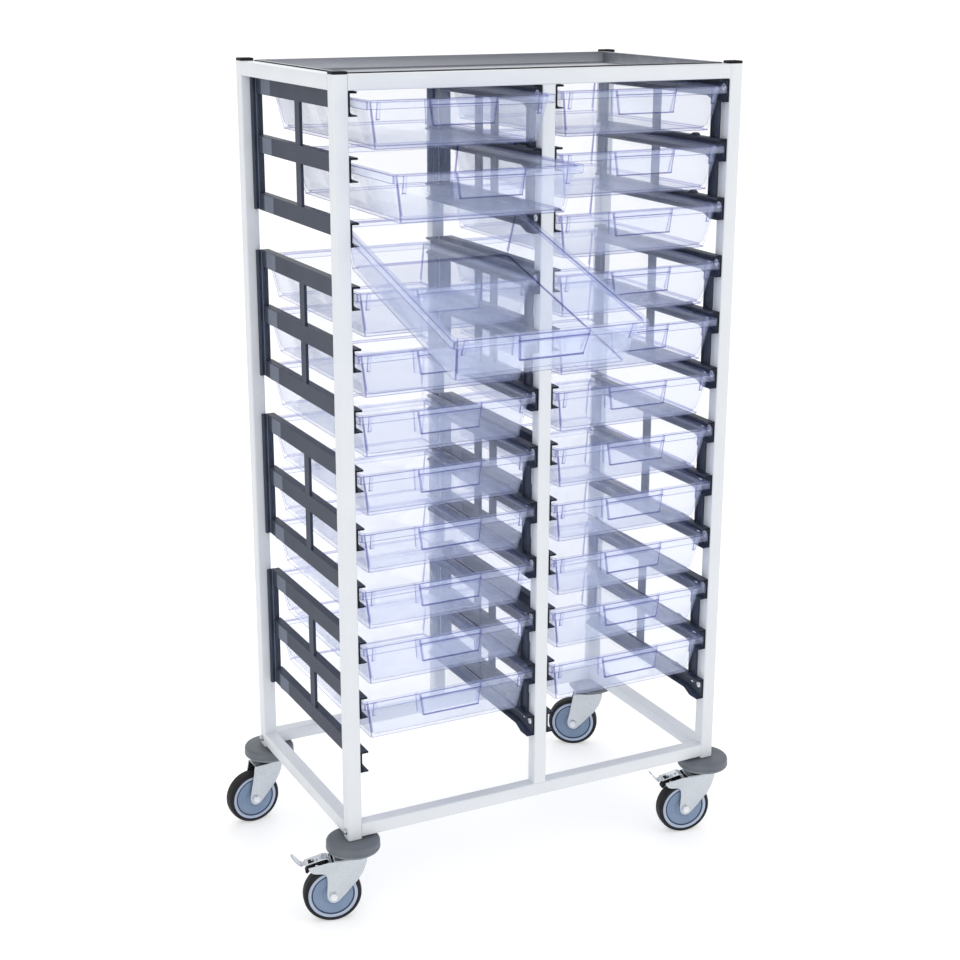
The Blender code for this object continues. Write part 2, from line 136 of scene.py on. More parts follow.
# Trays
TRAY_ROWS = 11
TRAY_SIDE_ROOM = 0.00625
TRAY_WIDTH = (WIDTH - 3 * TUBE) / 2 - 2 * TRAY_SIDE_ROOM
TRAY_FRONT = -0.005
TRAY_REAR_ROOM = 0.015
TRAY_LENGTH = DEPTH - TRAY_REAR_ROOM - TRAY_FRONT
STACK_GAP = 0.030
TRAY_HEIGHT = PITCH - STACK_GAP
TRAY_WALL = 0.0025
TRAY_FLOOR = 0.003
LIP_HEIGHT = 0.0165
LIP_THICKNESS = 0.003
RIM_THICKNESS = 0.003
RIM_OVERHANG = 0.0095
FLOOR_INSET = 0.026
RIM_RADIUS = 0.010
WALL_RADIUS = 0.009
FLOOR_RADIUS = 0.008
INNER_FLOOR_RADIUS = 0.014
CORNER_STEPS = 7
TILT_HOLD = 0.092
PULLED_OUT = {"l01": 0.062, "l02": 0.176, "l03": TRAY_LENGTH - TILT_HOLD}
TILTED_TRAY = "l03"
HANDLE_TOP_HALF = 0.078
HANDLE_BOTTOM_HALF = 0.071
HANDLE_FLARE = 0.006
HANDLE_HEIGHT = 0.049
HANDLE_PROUD = 0.002
HANDLE_WALL = 0.0028
HANDLE_TOP_ROOT = 0.0105
HANDLE_BOTTOM_ROOT = 0.0192
HANDLE_BEND = 0.003
TRAY_RIB_INSET = 0.030
TRAY_RIB_HEIGHT = 0.034
TRAY_RIB_HALF = 0.0040
TRAY_RIB_DEPTH = 0.0050

# Castors, counted from the swivel axis at the floor
CASTOR_TURN_DEG = {"fl": -13.6, "fr": -10.9, "rl": 4.1, "rr": -30.6}
BRAKED = ("fl", "fr")
WHEEL_RADIUS = 0.0625
TRAIL = 0.047
BUFFER_RADIUS = 0.058
BUFFER_HEIGHT = 0.025
FORK_SHEET = 0.003
FORK_HALF = 0.021
FORK_TOP = 0.1445
FORK_BENDS = ((-0.100, FORK_HALF), (-0.018, FORK_HALF), (0.004, 0.0178), (0.0285, 0.0110))
# Places where the fork's flat sides are cut so that they can turn in
FORK_CUTS = (-0.018, -0.011, -0.003, 0.004, 0.012, 0.020)
CROWN_REAR = -0.045
STEM_TOP = 0.215
RACE_TOP = 0.1600
LEG_LOW = (
    (-0.0608, 0.0660), (-0.0590, 0.0560), (-0.0540, 0.0490), (-0.0465, 0.0462), (-0.0395, 0.0475),
    (-0.0340, 0.0515),
)
LEG_FRONT = ((-0.0115, 0.0750), (0.0070, 0.0930), (0.0195, 0.1110), (0.0268, 0.1300), (0.0285, FORK_TOP))
PLAIN_LEG = ((-0.0460, FORK_TOP), (-0.0535, 0.1035), *LEG_LOW, *LEG_FRONT)
BRAKED_LEG = (
    (-0.0550, 0.1425), (-0.0985, 0.1342), (-0.0975, 0.1290), (-0.0920, 0.1220), (-0.0850, 0.1190),
    (-0.0680, 0.1170), (-0.0625, 0.1140), (-0.0598, 0.1080), (-0.0590, 0.0950), *LEG_LOW, *LEG_FRONT,
)
AXLE_END = 0.029
PEDAL_PIVOT = (-0.0500, 0.1370)
PEDAL_LINE = (
    (-0.0505, 0.1370), (-0.0580, 0.1480), (-0.0800, 0.1440), (-0.1010, 0.1385), (-0.1100, 0.1360),
    (-0.1190, 0.1425), (-0.1325, 0.1590),
)
LEVER_SHEET = 0.0026
LEVER_BROAD = 0.0130
LEVER_NARROW = 0.0085
LEVER_OVAL = 0.0150
SHOE_HALF = 0.0075

# Floor and lamps, in the frame's own coordinates
FLOOR_HALF = 150.0
FLOOR_THICKNESS = 0.02
WORLD_STRENGTH = 0.86
LAMP_AIM = (0.0, 0.1, 0.9)

# Camera, in trolley coordinates, for a 960 x 960 frame
CAMERA_AT = (-1.2284, -3.0170, 1.9594)
CAMERA_YAW = 0.47058
CAMERA_PITCH = -0.29266
CAMERA_ROLL = 0.00286
CAMERA_LENS = 64.523
CAMERA_SENSOR = 36.0


# Shader helpers

def new_material(name):
    material = bpy.data.materials.new(name)
    material.use_nodes = True
    tree = material.node_tree
    tree.nodes.clear()
    output = tree.nodes.new("ShaderNodeOutputMaterial")
    return material, tree, output.inputs["Surface"]


def noise(tree, scale, detail=4.0, stretch=(1.0, 1.0, 1.0)):
    """Factor of a noise in the piece's own metres, stretched along its axes."""
    coords = tree.nodes.new("ShaderNodeTexCoord")
    mapping = tree.nodes.new("ShaderNodeMapping")
    mapping.inputs["Scale"].default_value = stretch
    texture = tree.nodes.new("ShaderNodeTexNoise")
    texture.inputs["Scale"].default_value = scale
    texture.inputs["Detail"].default_value = detail
    tree.links.new(coords.outputs["Object"], mapping.inputs["Vector"])
    tree.links.new(mapping.outputs["Vector"], texture.inputs["Vector"])
    return texture.outputs[0]


def ramp(tree, factor, low, high, start=0.3, end=0.7):
    blend = tree.nodes.new("ShaderNodeValToRGB")
    first, last = blend.color_ramp.elements
    first.position, last.position = start, end
    first.color, last.color = (*low, 1.0), (*high, 1.0)
    tree.links.new(factor, blend.inputs["Fac"])
    return blend.outputs["Color"]


def spread(tree, factor, low, high, start=0.3, end=0.7):
    between = tree.nodes.new("ShaderNodeMapRange")
    for socket, value in (("From Min", start), ("From Max", end), ("To Min", low), ("To Max", high)):
        between.inputs[socket].default_value = value
    tree.links.new(factor, between.inputs["Value"])
    return between.outputs["Result"]


def bumps(tree, height, strength, distance):
    bump = tree.nodes.new("ShaderNodeBump")
    bump.inputs["Strength"].default_value = strength
    bump.inputs["Distance"].default_value = distance
    tree.links.new(height, bump.inputs["Height"])
    return bump.outputs["Normal"]


def mixed(tree, factor, first, second):
    mix = tree.nodes.new("ShaderNodeMixShader")
    tree.links.new(factor, mix.inputs["Fac"])
    tree.links.new(first, mix.inputs[1])
    tree.links.new(second, mix.inputs[2])
    return mix.outputs["Shader"]


def finish(name, dark, light, patch, gloss, grain, grain_depth, metallic=0.0, stretch=(1.0, 1.0, 1.0),
           **sockets):
    """Opaque finish: two close colours in soft patches, uneven gloss and a fine grain.

    patch and grain are noise scales per metre, gloss the lowest and highest roughness.
    """
    material, tree, surface = new_material(name)
    shader = tree.nodes.new("ShaderNodeBsdfPrincipled")
    shader.inputs["Metallic"].default_value = metallic
    for socket, value in sockets.items():
        shader.inputs[socket.replace("_", " ")].default_value = value
    patches = noise(tree, patch, 5.0, stretch)
    fine = noise(tree, grain, 2.0, stretch)
    tree.links.new(ramp(tree, patches, dark, light), shader.inputs["Base Color"])
    tree.links.new(spread(tree, fine, *gloss), shader.inputs["Roughness"])
    tree.links.new(bumps(tree, fine, 0.5, grain_depth), shader.inputs["Normal"])
    tree.links.new(shader.outputs["BSDF"], surface)
    return material


def clear_finish(name, straight, grazing, cloud, haze):
    """Clear plastic sheet: its tint and its faint haze deepen where it is seen edge-on."""
    material, tree, surface = new_material(name)
    weight = tree.nodes.new("ShaderNodeLayerWeight")
    weight.inputs["Blend"].default_value = 0.35
    facing = weight.outputs["Facing"]
    clear = tree.nodes.new("ShaderNodeBsdfTransparent")
    tree.links.new(ramp(tree, facing, straight, grazing, 0.0, 1.0), clear.inputs["Color"])
    flow = noise(tree, 14.0, 3.0, (1.0, 0.4, 2.0))
    milky = ramp(tree, flow, tuple(0.93 * c for c in cloud), cloud)
    dull = tree.nodes.new("ShaderNodeAddShader")
    for k, kind in enumerate(("ShaderNodeBsdfDiffuse", "ShaderNodeBsdfTranslucent")):
        side = tree.nodes.new(kind)
        tree.links.new(milky, side.inputs["Color"])
        tree.links.new(side.outputs["BSDF"], dull.inputs[k])
    body = mixed(tree, spread(tree, facing, *haze, 0.0, 1.0), clear.outputs["BSDF"], dull.outputs["Shader"])
    gloss = tree.nodes.new("ShaderNodeBsdfGlossy")
    tree.links.new(spread(tree, flow, 0.03, 0.09), gloss.inputs["Roughness"])
    sheen = tree.nodes.new("ShaderNodeLayerWeight")
    sheen.inputs["Blend"].default_value = 0.5
    wave = bumps(tree, flow, 0.3, 0.0006)
    tree.links.new(wave, gloss.inputs["Normal"])
    tree.links.new(wave, sheen.inputs["Normal"])
    share = spread(tree, sheen.outputs["Facing"], 0.03, 0.24, 0.35, 1.0)
    tree.links.new(mixed(tree, share, body, gloss.outputs["BSDF"]), surface)
    return material


POWDER = finish(
    "powder_coat", (0.69, 0.72, 0.755), (0.725, 0.75, 0.785), 9.0, (0.30, 0.42), 900.0, 0.00012,
)
STEEL = finish(
    "brushed_stainless", (0.29, 0.30, 0.335), (0.38, 0.39, 0.435), 30.0, (0.26, 0.40), 700.0, 0.00005,
    metallic=1.0, stretch=(0.03, 1.0, 1.0),
)
# Dark seam colour, also used as painted shade in the screws' cross recesses.
SEAM_AND_SHADE = finish("deck_seam", (0.10, 0.10, 0.11), (0.16, 0.16, 0.18), 60.0, (0.45, 0.6), 800.0, 0.00005)
# Also painted shade: the bead in the deck's gap and the pedal's window.
BLACK = finish(
    "black_plastic", (0.004, 0.0045, 0.007), (0.008, 0.009, 0.013), 40.0, (0.44, 0.58), 1400.0, 0.00008,
    Specular_IOR_Level=0.16,
)
RUNNER = finish(
    "runner_plastic", (0.033, 0.042, 0.068), (0.044, 0.055, 0.084), 16.0, (0.42, 0.56), 1300.0, 0.00009,
    Specular_IOR_Level=0.22,
)
# Lighter copy of the runner plastic: painted highlight on the pads and the column's middle bead.
PAD_HIGHLIGHT = finish(
    "runner_pad_highlight", (0.120, 0.140, 0.190), (0.140, 0.162, 0.215), 18.0, (0.42, 0.56), 1300.0, 0.00009,
    Specular_IOR_Level=0.25,
)
BUFFER = finish(
    "buffer_plastic", (0.108, 0.124, 0.145), (0.134, 0.152, 0.175), 22.0, (0.42, 0.56), 1100.0, 0.0001,
)
RIM = finish("buffer_rim", (0.150, 0.170, 0.195), (0.178, 0.200, 0.225), 22.0, (0.38, 0.50), 1100.0, 0.0001)
ZINC = finish(
    "zinc_steel", (0.52, 0.555, 0.59), (0.58, 0.615, 0.65), 18.0, (0.22, 0.34), 520.0, 0.00004,
    metallic=1.0,
)
SCREW = finish(
    "screw_steel", (0.74, 0.76, 0.80), (0.84, 0.86, 0.90), 90.0, (0.24, 0.36), 900.0, 0.00004,
    metallic=0.35,
)
TYRE = finish(
    "tyre_rubber", (0.009, 0.009, 0.012), (0.015, 0.015, 0.019), 26.0, (0.50, 0.66), 1000.0, 0.00012,
    Specular_IOR_Level=0.25,
)
HUB = finish(
    "hub_plastic", (0.165, 0.235, 0.355), (0.205, 0.280, 0.410), 24.0, (0.36, 0.48), 1000.0, 0.00008,
)
# Darker copy of the hub plastic: painted shade in the groove.
GROOVE_SHADE = finish(
    "hub_groove_shade", (0.060, 0.085, 0.135), (0.080, 0.110, 0.170), 24.0, (0.46, 0.58), 1000.0, 0.00008,
)
RING = finish("hub_ring", (0.36, 0.43, 0.57), (0.42, 0.49, 0.63), 24.0, (0.34, 0.46), 1000.0, 0.00008)
CLEAR = clear_finish(
    "clear_plastic", (0.986, 0.986, 0.984), (0.955, 0.956, 0.962), (0.58, 0.67, 0.91), (0.052, 0.115),
)
# Darker tint on the tray's edge lines: painted shade for the dark lines that bent light draws at the
# plastic's bends.
EDGE_SHADE = clear_finish(
    "clear_plastic_edge_shade", (0.58, 0.58, 0.76), (0.36, 0.36, 0.60), (0.20, 0.21, 0.42), (0.03, 0.08),
)

# Places of the second and third materials in a mesh
PANEL_END, PANEL_HIGHLIGHT = 1, 2
TRAY_EDGE_SHADE = 1
# Slot for painted shade: a screw's cross recess, the pedal's window.
SHADE_PART = 1
BRIGHT_PART = 1


# Mesh helpers

def add_loft(bm, rings, bands=None, capped=True, looped=False):
    """Faces through rings of equal point counts.

    bands gives the material index after each ring, or one index for each of its faces.
    """
    loops = [[bm.verts.new(p) for p in ring] for ring in rings]
    count = len(loops[0])
    pairs = list(zip(loops, loops[1:]))
    if looped:
        pairs.append((loops[-1], loops[0]))
    for k, (low, high) in enumerate(pairs):
        band = bands[k] if bands else 0
        for i in range(count):
            j = (i + 1) % count
            face = bm.faces.new((low[i], low[j], high[j], high[i]))
            face.material_index = band[i] if isinstance(band, tuple) else band
    if capped and not looped:
        bm.faces.new(loops[0][::-1])
        bm.faces.new(loops[-1])
    return [v for loop in loops for v in loop]


def paint(verts, index):
    """Gives the faces round some vertices a material."""
    for face in {f for v in verts for f in v.link_faces}:
        face.material_index = index


def add_lathe(bm, section, steps, axis="Z", bands=None):
    """Turns a closed section of (radius, height) points about Z or Y."""
    rings = []
    for k in range(steps):
        turn = math.tau * k / steps
        around = (math.cos(turn), math.sin(turn))
        if axis == "Z":
            rings.append([(r * around[0], r * around[1], h) for r, h in section])
        else:
            rings.append([(r * around[0], h, r * around[1]) for r, h in section])
    columns = [list(column) for column in zip(*rings)]
    return add_loft(bm, columns, bands, looped=True)


def add_prism(bm, outline, near, far, axis):
    """Extrudes an outline of (u, v) points along X, Y or Z from near to far."""
    rings = []
    for level in (near, far):
        rings.append([
            {"X": (level, u, v), "Y": (u, level, v), "Z": (u, v, level)}[axis] for u, v in outline
        ])
    return add_loft(bm, rings)


def arc(centre, radius, start, end, steps):
    """Points on an arc from start to end, in turns of a full circle."""
    points = []
    for k in range(steps + 1):
        turn = math.tau * (start + (end - start) * k / steps)
        points.append((centre[0] + radius * math.cos(turn), centre[1] + radius * math.sin(turn)))
    return points


def circle(centre, radius, count):
    """Evenly spaced points on a full circle."""
    return arc(centre, radius, 0.0, 1.0 - 1.0 / count, count - 1)


def rounded_box(lo, hi, radius, steps):
    """Outline of a rectangle with round corners."""
    corners = (
        (hi[0] - radius, lo[1] + radius, -0.25), (hi[0] - radius, hi[1] - radius, 0.0),
        (lo[0] + radius, hi[1] - radius, 0.25), (lo[0] + radius, lo[1] + radius, 0.5),
    )
    outline = []
    for x, y, start in corners:
        outline += arc((x, y), radius, start, start + 0.25, steps)
    return outline


def smooth_line(points, steps):
    """Catmull-Rom points through the given ones."""
    points = [Vector(p) for p in points]
    ends = [2 * points[0] - points[1], *points, 2 * points[-1] - points[-2]]
    line = []
    for a, b, c, d in zip(ends, ends[1:], ends[2:], ends[3:]):
        for k in range(steps):
            t = k / steps
            bend = (2 * a - 5 * b + 4 * c - d) * t ** 2 + (3 * b - a - 3 * c + d) * t ** 3
            line.append(0.5 * (2 * b + (c - a) * t + bend))
    return line + [points[-1]]


def finished_mesh(name, bm, *materials, smooth_deg=38.0):
    bmesh.ops.recalc_face_normals(bm, faces=bm.faces)
    mesh = bpy.data.meshes.new(name)
    bm.to_mesh(mesh)
    bm.free()
    mesh.shade_smooth()
    mesh.set_sharp_from_angle(angle=math.radians(smooth_deg))
    for material in materials:
        mesh.materials.append(material)
    return mesh


def soften(obj, width, segments=2):
    """Rounds the hard edges of a piece."""
    bevel = obj.modifiers.new("rounded_edges", "BEVEL")
    bevel.width = width
    bevel.segments = segments
    bevel.limit_method = "ANGLE"
    bevel.angle_limit = math.radians(40.0)
    bevel.harden_normals = False
    weighted = obj.modifiers.new("even_shading", "WEIGHTED_NORMAL")
    weighted.keep_sharp = True


def piece(name, mesh, body, nodes=(), at=(0.0, 0.0, 0.0), turn=None):
    """Puts a mesh at a place in trolley coordinates and lets it ride on a body."""
    obj = bpy.data.objects.new(name, mesh)
    bpy.context.scene.collection.objects.link(obj)
    rotation = turn.to_4x4() if turn else Matrix.Identity(4)
    obj.matrix_world = Matrix.Translation(ORIGIN + Vector(at)) @ rotation
    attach(obj, body)
    if nodes:
        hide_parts(*nodes)
    return obj


# Frame, caps, bolts and deck

def add_tube(bm, lo, hi, axis):
    """Square tube with round corners from one corner to the opposite one."""
    across = [k for k in range(3) if k != axis]
    outline = rounded_box([lo[k] for k in across], [hi[k] for k in across], TUBE_CORNER, 3)
    rings = []
    for level in (lo[axis], hi[axis]):
        ring = []
        for u, v in outline:
            point = [0.0, 0.0, 0.0]
            point[across[0]], point[across[1]], point[axis] = u, v, level
            ring.append(point)
        rings.append(ring)
    add_loft(bm, rings)


def add_weld(bm, corner, along, up, across):
    """Concave fillet in a corner between two tubes, as long as the tube's flat."""
    corner, along, up, across = Vector(corner), Vector(along), Vector(up), Vector(across)
    section = [Vector((0.0, 0.0))]
    section += [Vector((WELD, WELD)) + Vector(p) for p in arc((0.0, 0.0), WELD, 0.75, 0.5, 3)]
    half = HALF_TUBE - TUBE_CORNER
    rings = []
    for side in (-half, half):
        rings.append([corner + across * side + along * p.x + up * p.y for p in section])
    add_loft(bm, rings)


def frame_mesh():
    bm = bmesh.new()
    far_x, far_y = WIDTH - TUBE, DEPTH - TUBE
    low, high = POST_BOTTOM + BOTTOM_RAIL_LIFT, POST_TOP - TUBE
    inset = RAIL_INSET
    for x in (0.0, far_x):
        for y in (0.0, far_y):
            add_tube(bm, (x, y, POST_BOTTOM), (x + TUBE, y + TUBE, POST_TOP), 2)
    for z in (low, high):
        for y in (0.0, far_y):
            lo = (TUBE - inset, y + inset, z + inset)
            add_tube(bm, lo, (far_x + inset, y + TUBE - inset, z + TUBE - inset), 0)
        for x in (0.0, far_x):
            lo = (x + inset, TUBE - inset, z + inset)
            add_tube(bm, lo, (x + TUBE - inset, far_y + inset, z + TUBE - inset), 1)
    middle = (WIDTH - TUBE) / 2
    inset = CENTRE_INSET
    for y in (0.0, far_y):
        lo = (middle + inset, y + inset, low + TUBE - inset)
        add_tube(bm, lo, (middle + TUBE - inset, y + TUBE - inset, high + inset), 2)
    add_frame_welds(bm, low, high, middle)
    return finished_mesh("frame_tubes", bm, POWDER)


def add_frame_welds(bm, low, high, middle):
    edge = RAIL_INSET
    levels = ((low + TUBE - edge, 1.0), (low + edge, -1.0), (high + edge, -1.0))
    for z, up in levels:
        for y in (HALF_TUBE, DEPTH - HALF_TUBE):
            for x, way in ((TUBE, 1.0), (WIDTH - TUBE, -1.0)):
                add_weld(bm, (x, y, z), (way, 0, 0), (0, 0, up), (0, 1, 0))
        for x in (HALF_TUBE, WIDTH - HALF_TUBE):
            for y, way in ((TUBE, 1.0), (DEPTH - TUBE, -1.0)):
                add_weld(bm, (x, y, z), (0, way, 0), (0, 0, up), (1, 0, 0))
    for z, up in ((low + TUBE - edge, 1.0), (high + edge, -1.0)):
        for y in (HALF_TUBE, DEPTH - HALF_TUBE):
            for x, way in ((middle + CENTRE_INSET, -1.0), (middle + TUBE - CENTRE_INSET, 1.0)):
                add_weld(bm, (x, y, z), (way, 0, 0), (0, 0, up), (0, 1, 0))


def deck_loop(inset):
    """Rectangle round the deck, that far inside the rails."""
    lo = TUBE - RAIL_INSET + SEAT_GAP + inset
    return rounded_box((lo, lo), (WIDTH - lo, DEPTH - lo), DECK_CORNER, 2)


def deck_mesh():
    """Folded sheet dish. Its hemmed edge stands just above the black bead along the rails, which is painted
    shade for the gap there.
    """
    top, floor = POST_TOP + HEM_RISE, POST_TOP - DECK_DEPTH
    under = floor - DECK_SHEET
    hem = GAP_SHADE_WIDTH + 2 * DECK_SHEET
    half = DECK_SHEET / 2
    fold = DECK_FOLD
    profile = (
        (fold, under), (fold / 4, under + fold / 4), (0.0, under + fold),
        (0.0, POST_TOP - 0.006), (GAP_SHADE_WIDTH, POST_TOP - 0.004), (GAP_SHADE_WIDTH, top - half),
        (GAP_SHADE_WIDTH + half, top), (hem - half, top), (hem, top - half), (hem, floor + fold),
        (hem + fold / 4, floor + fold / 4), (hem + fold, floor),
    )
    bm = bmesh.new()
    add_loft(bm, [[(x, y, z) for x, y in deck_loop(inset)] for inset, z in profile])
    return finished_mesh("deck_dish", bm, STEEL)


def deck_gap_shade_mesh():
    """Black bead between the rails and the deck's hem: painted shade where the gap between them lies in
    shadow.
    """
    near, far, top = GAP_SHADE_PLAY, GAP_SHADE_WIDTH - GAP_SHADE_PLAY, POST_TOP + GAP_SHADE_RISE
    profile = (
        (near, POST_TOP - 0.0035), (far, POST_TOP - 0.0030), (far, top - 0.0008), (far - 0.0006, top),
        (near + 0.0006, top), (near, top - 0.0008),
    )
    bm = bmesh.new()
    add_loft(bm, [[(x, y, z) for x, y in deck_loop(inset)] for inset, z in profile], looped=True)
    return finished_mesh("deck_gap_shade", bm, BLACK)


def deck_seam_mesh():
    """Sealed seams where the four walls of the dish meet."""
    lo = TUBE - RAIL_INSET + SEAT_GAP + GAP_SHADE_WIDTH + 2 * DECK_SHEET
    bm = bmesh.new()
    for x, way_x in ((lo, 1.0), (WIDTH - lo, -1.0)):
        for y, way_y in ((lo, 1.0), (DEPTH - lo, -1.0)):
            outline = [(x, y), (x + way_x * SEAM_SIZE, y), (x, y + way_y * SEAM_SIZE)]
            add_prism(bm, outline, POST_TOP - DECK_DEPTH + 0.0005, POST_TOP + HEM_RISE - 0.0012, "Z")
    return finished_mesh("deck_seams", bm, SEAM_AND_SHADE)


def cap_mesh():
    """Plastic end cap with a crowned top."""
    profile = (
        (0.0022, 0.0001), (0.0, SEAT_GAP), (0.0, CAP_HEIGHT - 0.0017), (0.0007, CAP_HEIGHT - 0.0007),
        (0.0022, CAP_HEIGHT - 0.0002), (0.0080, CAP_HEIGHT),
    )
    rings = []
    for inset, z in profile:
        half = HALF_TUBE - inset
        outline = rounded_box((-half, -half), (half, half), max(TUBE_CORNER - inset / 2, 0.0012), 4)
        rings.append([(x, y, z) for x, y in outline])
    bm = bmesh.new()
    add_loft(bm, rings)
    return finished_mesh("end_cap", bm, BLACK)


def add_hex(bm, across_flats, low, high, axis, chamfer):
    """Hexagon nut or bolt head with its corners turned off at the outer end."""
    radius = across_flats / math.sqrt(3.0)
    rings = []
    for level, size in ((low, 1.0), (high - chamfer * (high - low), 1.0), (high, 0.90)):
        flat = circle((0.0, 0.0), radius * size, 6)
        rings.append([(level, u, v) if axis == "X" else (u, level, v) for u, v in flat])
    return add_loft(bm, rings)


def bolt_mesh(way):
    """Hexagon head on a washer, standing out along X."""
    bm = bmesh.new()
    washer = 0.0014
    add_prism(bm, circle((0.0, 0.0), 0.0075, 24), 0.0, way * washer, "X")
    add_hex(bm, 0.010, way * washer, way * 0.0066, "X", 0.2)
    return finished_mesh("cross_bolt", bm, ZINC)


def build_frame():
    piece("frame_tubes", frame_mesh(), "trolley", ["frame"])
    piece("deck_dish", deck_mesh(), "trolley", ["top_deck"])
    piece("deck_seams", deck_seam_mesh(), "trolley")
    piece("deck_gap_shade", deck_gap_shade_mesh(), "trolley")
    cap = cap_mesh()
    bolts = {-1.0: bolt_mesh(-1.0), 1.0: bolt_mesh(1.0)}
    for label, (x, y) in CORNERS.items():
        piece(f"cap_{label}", cap, "trolley", [f"end_cap_{label}"], (x, y, POST_TOP))
        way = -1.0 if x < WIDTH / 2 else 1.0
        side = (x + way * HALF_TUBE, y, BOLT_HEIGHT)
        bolt = piece(f"cross_bolt_{label}", bolts[way], "trolley", (), side)
        soften(bolt, 0.0003)


# Runner panels

def row_top(row):
    return FIRST_ROW_TOP - row * PITCH


def runner_section(y):
    """C-shaped section at y: deep beside the front post, where its ledge dips so that a tray can tilt."""
    post_end, dip_end = PANEL_FRONT + TUBE, PANEL_FRONT + DIP_LENGTH
    share = min(max((y - post_end) / (dip_end - post_end), 0.0), 1.0)
    depth = RUNNER_HEIGHT + (BAR_HEIGHT - RUNNER_HEIGHT) * share
    ledge = LEDGE_TOP + max(dip_end - y, 0.0) * math.tan(math.radians(TILT_DEG))
    upper = [(WEB, FLANGE), (RUNNER_WIDTH, FLANGE), (RUNNER_WIDTH, 0.0), (0.0, 0.0)]
    lower = [
        (0.0, depth), (RUNNER_WIDTH, depth), (RUNNER_WIDTH, depth - LEDGE_TIP), (LEDGE_FLAT_END, ledge),
        (WEB + LEDGE_FILLET[0], ledge), (WEB, ledge - LEDGE_FILLET[1]),
    ]
    return upper, lower


def add_runner(bm, top):
    """Runner along Y, with a slot through its web a little behind the front post."""
    def ring(y, section, shrink=0.0):
        inner = [(min(max(x, shrink), RUNNER_WIDTH - shrink), drop) for x, drop in section]
        return [(x - (shrink if x == WEB else 0.0), y, top - drop) for x, drop in inner]

    front, back = SLOT
    before = (PANEL_FRONT, PANEL_FRONT + TUBE, front)
    behind = (back, PANEL_FRONT + DIP_LENGTH, PANEL_REAR - RUNNER_END_ROOM)
    for stations in (before, behind):
        rings = []
        for y in stations:
            upper, lower = runner_section(y)
            rings.append(ring(y, upper + lower))
        add_loft(bm, rings)
    above, below = [], []
    for y in (front - SLOT_LAP, back + SLOT_LAP):
        upper, lower = runner_section(y)
        high, low = SLOT_DROP
        above.append(ring(y, [(WEB, high), *upper, (0.0, high)], SLOT_SHRINK))
        below.append(ring(y, [(0.0, low), *lower, (WEB, low)], SLOT_SHRINK))
    add_loft(bm, above)
    add_loft(bm, below)


def add_block(bm, lo, hi):
    outline = [(lo[0], lo[1]), (hi[0], lo[1]), (hi[0], hi[1]), (lo[0], hi[1])]
    return add_prism(bm, outline, lo[2], hi[2], "Z")


def add_stop(bm, top):
    """Small ramp on a runner's top that stops a tray from being pulled right out."""
    start, length, height = PANEL_FRONT + 0.092, 0.030, 0.0055
    outline = [
        (start, top - 0.001), (start + 0.004, top + 0.7 * height), (start + 0.009, top + height),
        (start + 0.015, top + height), (start + length, top - 0.001),
    ]
    add_prism(bm, outline, 0.004, RUNNER_WIDTH - 0.003, "X")


def add_column(bm, foot):
    """Upright flange against the rear post's front, with round beads; the bead at the web is painted light,
    a painted highlight.
    """
    add_block(bm, (-COLUMN_WRAP, COLUMN_FRONT + 0.0012, foot), (COLUMN_IN, PANEL_REAR, -0.0005))
    # The middle bead is painted light: a painted highlight.
    beads = ((-COLUMN_WRAP + 0.0035, 0.0030, 0), (-0.0006, 0.0013, PANEL_HIGHLIGHT), (0.0034, 0.0020, 0))
    for centre, radius, index in beads:
        bead = [(centre + u, COLUMN_FRONT + 0.0016 - v) for u, v in arc((0.0, 0.0), radius, 0.0, 0.5, 6)]
        paint(add_prism(bm, bead, foot + 0.0008, -0.0013, "Z"), index)


def add_pad(bm, top):
    """Tapered pad on the outside of a runner, near its rear end, painted lighter: a painted highlight on
    its face towards the lamps.
    """
    start, end = PAD
    back = end + 0.002
    outline = [(0.0005, start), (-PAD_PROUD, end), (-PAD_PROUD / 2, back), (0.0005, back)]
    paint(add_prism(bm, outline, top - BAR_HEIGHT + PAD_INSET, top - PAD_INSET, "Z"), PANEL_HIGHLIGHT)


def add_members(bm, high, low):
    """Upright members between two runners, each stiffened by ribs on its tray side."""
    root = 2 * MEMBER_IN
    for y0, y1 in (FRONT_MEMBER, MID_MEMBER):
        add_block(bm, (MEMBER_IN, y0, low), (MEMBER_OUT, y1, high + 0.0015))
    for (y0, y1), reach in ((MID_MEMBER, MID_RIB_OUT), ((COLUMN_FRONT, PANEL_REAR), COLUMN_RIB_OUT)):
        add_block(bm, (root, y0 + RIB_INSET, low), (reach, y1 - RIB_INSET, high))
    start, end = FRONT_MEMBER
    for y in (start + RIB_INSET, end - RIB_INSET - RIB_SHEET):
        add_block(bm, (root, y, low), (MID_RIB_OUT, y + RIB_SHEET, high))


def panel_mesh(name, way):
    """Three runners on two upright members, with a column behind that wraps in front of the rear post."""
    bm = bmesh.new()
    foot = -(ROWS_PER_PANEL - 1) * PITCH - BAR_HEIGHT + 0.002
    for row in range(ROWS_PER_PANEL):
        top = -row * PITCH
        add_runner(bm, top)
        if row:
            add_stop(bm, top)
        add_pad(bm, top)
    add_column(bm, foot)
    for row in range(ROWS_PER_PANEL - 1):
        add_members(bm, -row * PITCH - BAR_HEIGHT + 0.0005, -(row + 1) * PITCH - 0.002)
    for face in bm.faces:
        if all(vert.co.y < PANEL_FRONT + SLOT_SHRINK for vert in face.verts):
            face.material_index = PANEL_END
    if way < 0:
        bmesh.ops.scale(bm, vec=(-1.0, 1.0, 1.0), verts=bm.verts[:])
    return finished_mesh(name, bm, RUNNER, BLACK, PAD_HIGHLIGHT, smooth_deg=30.0)


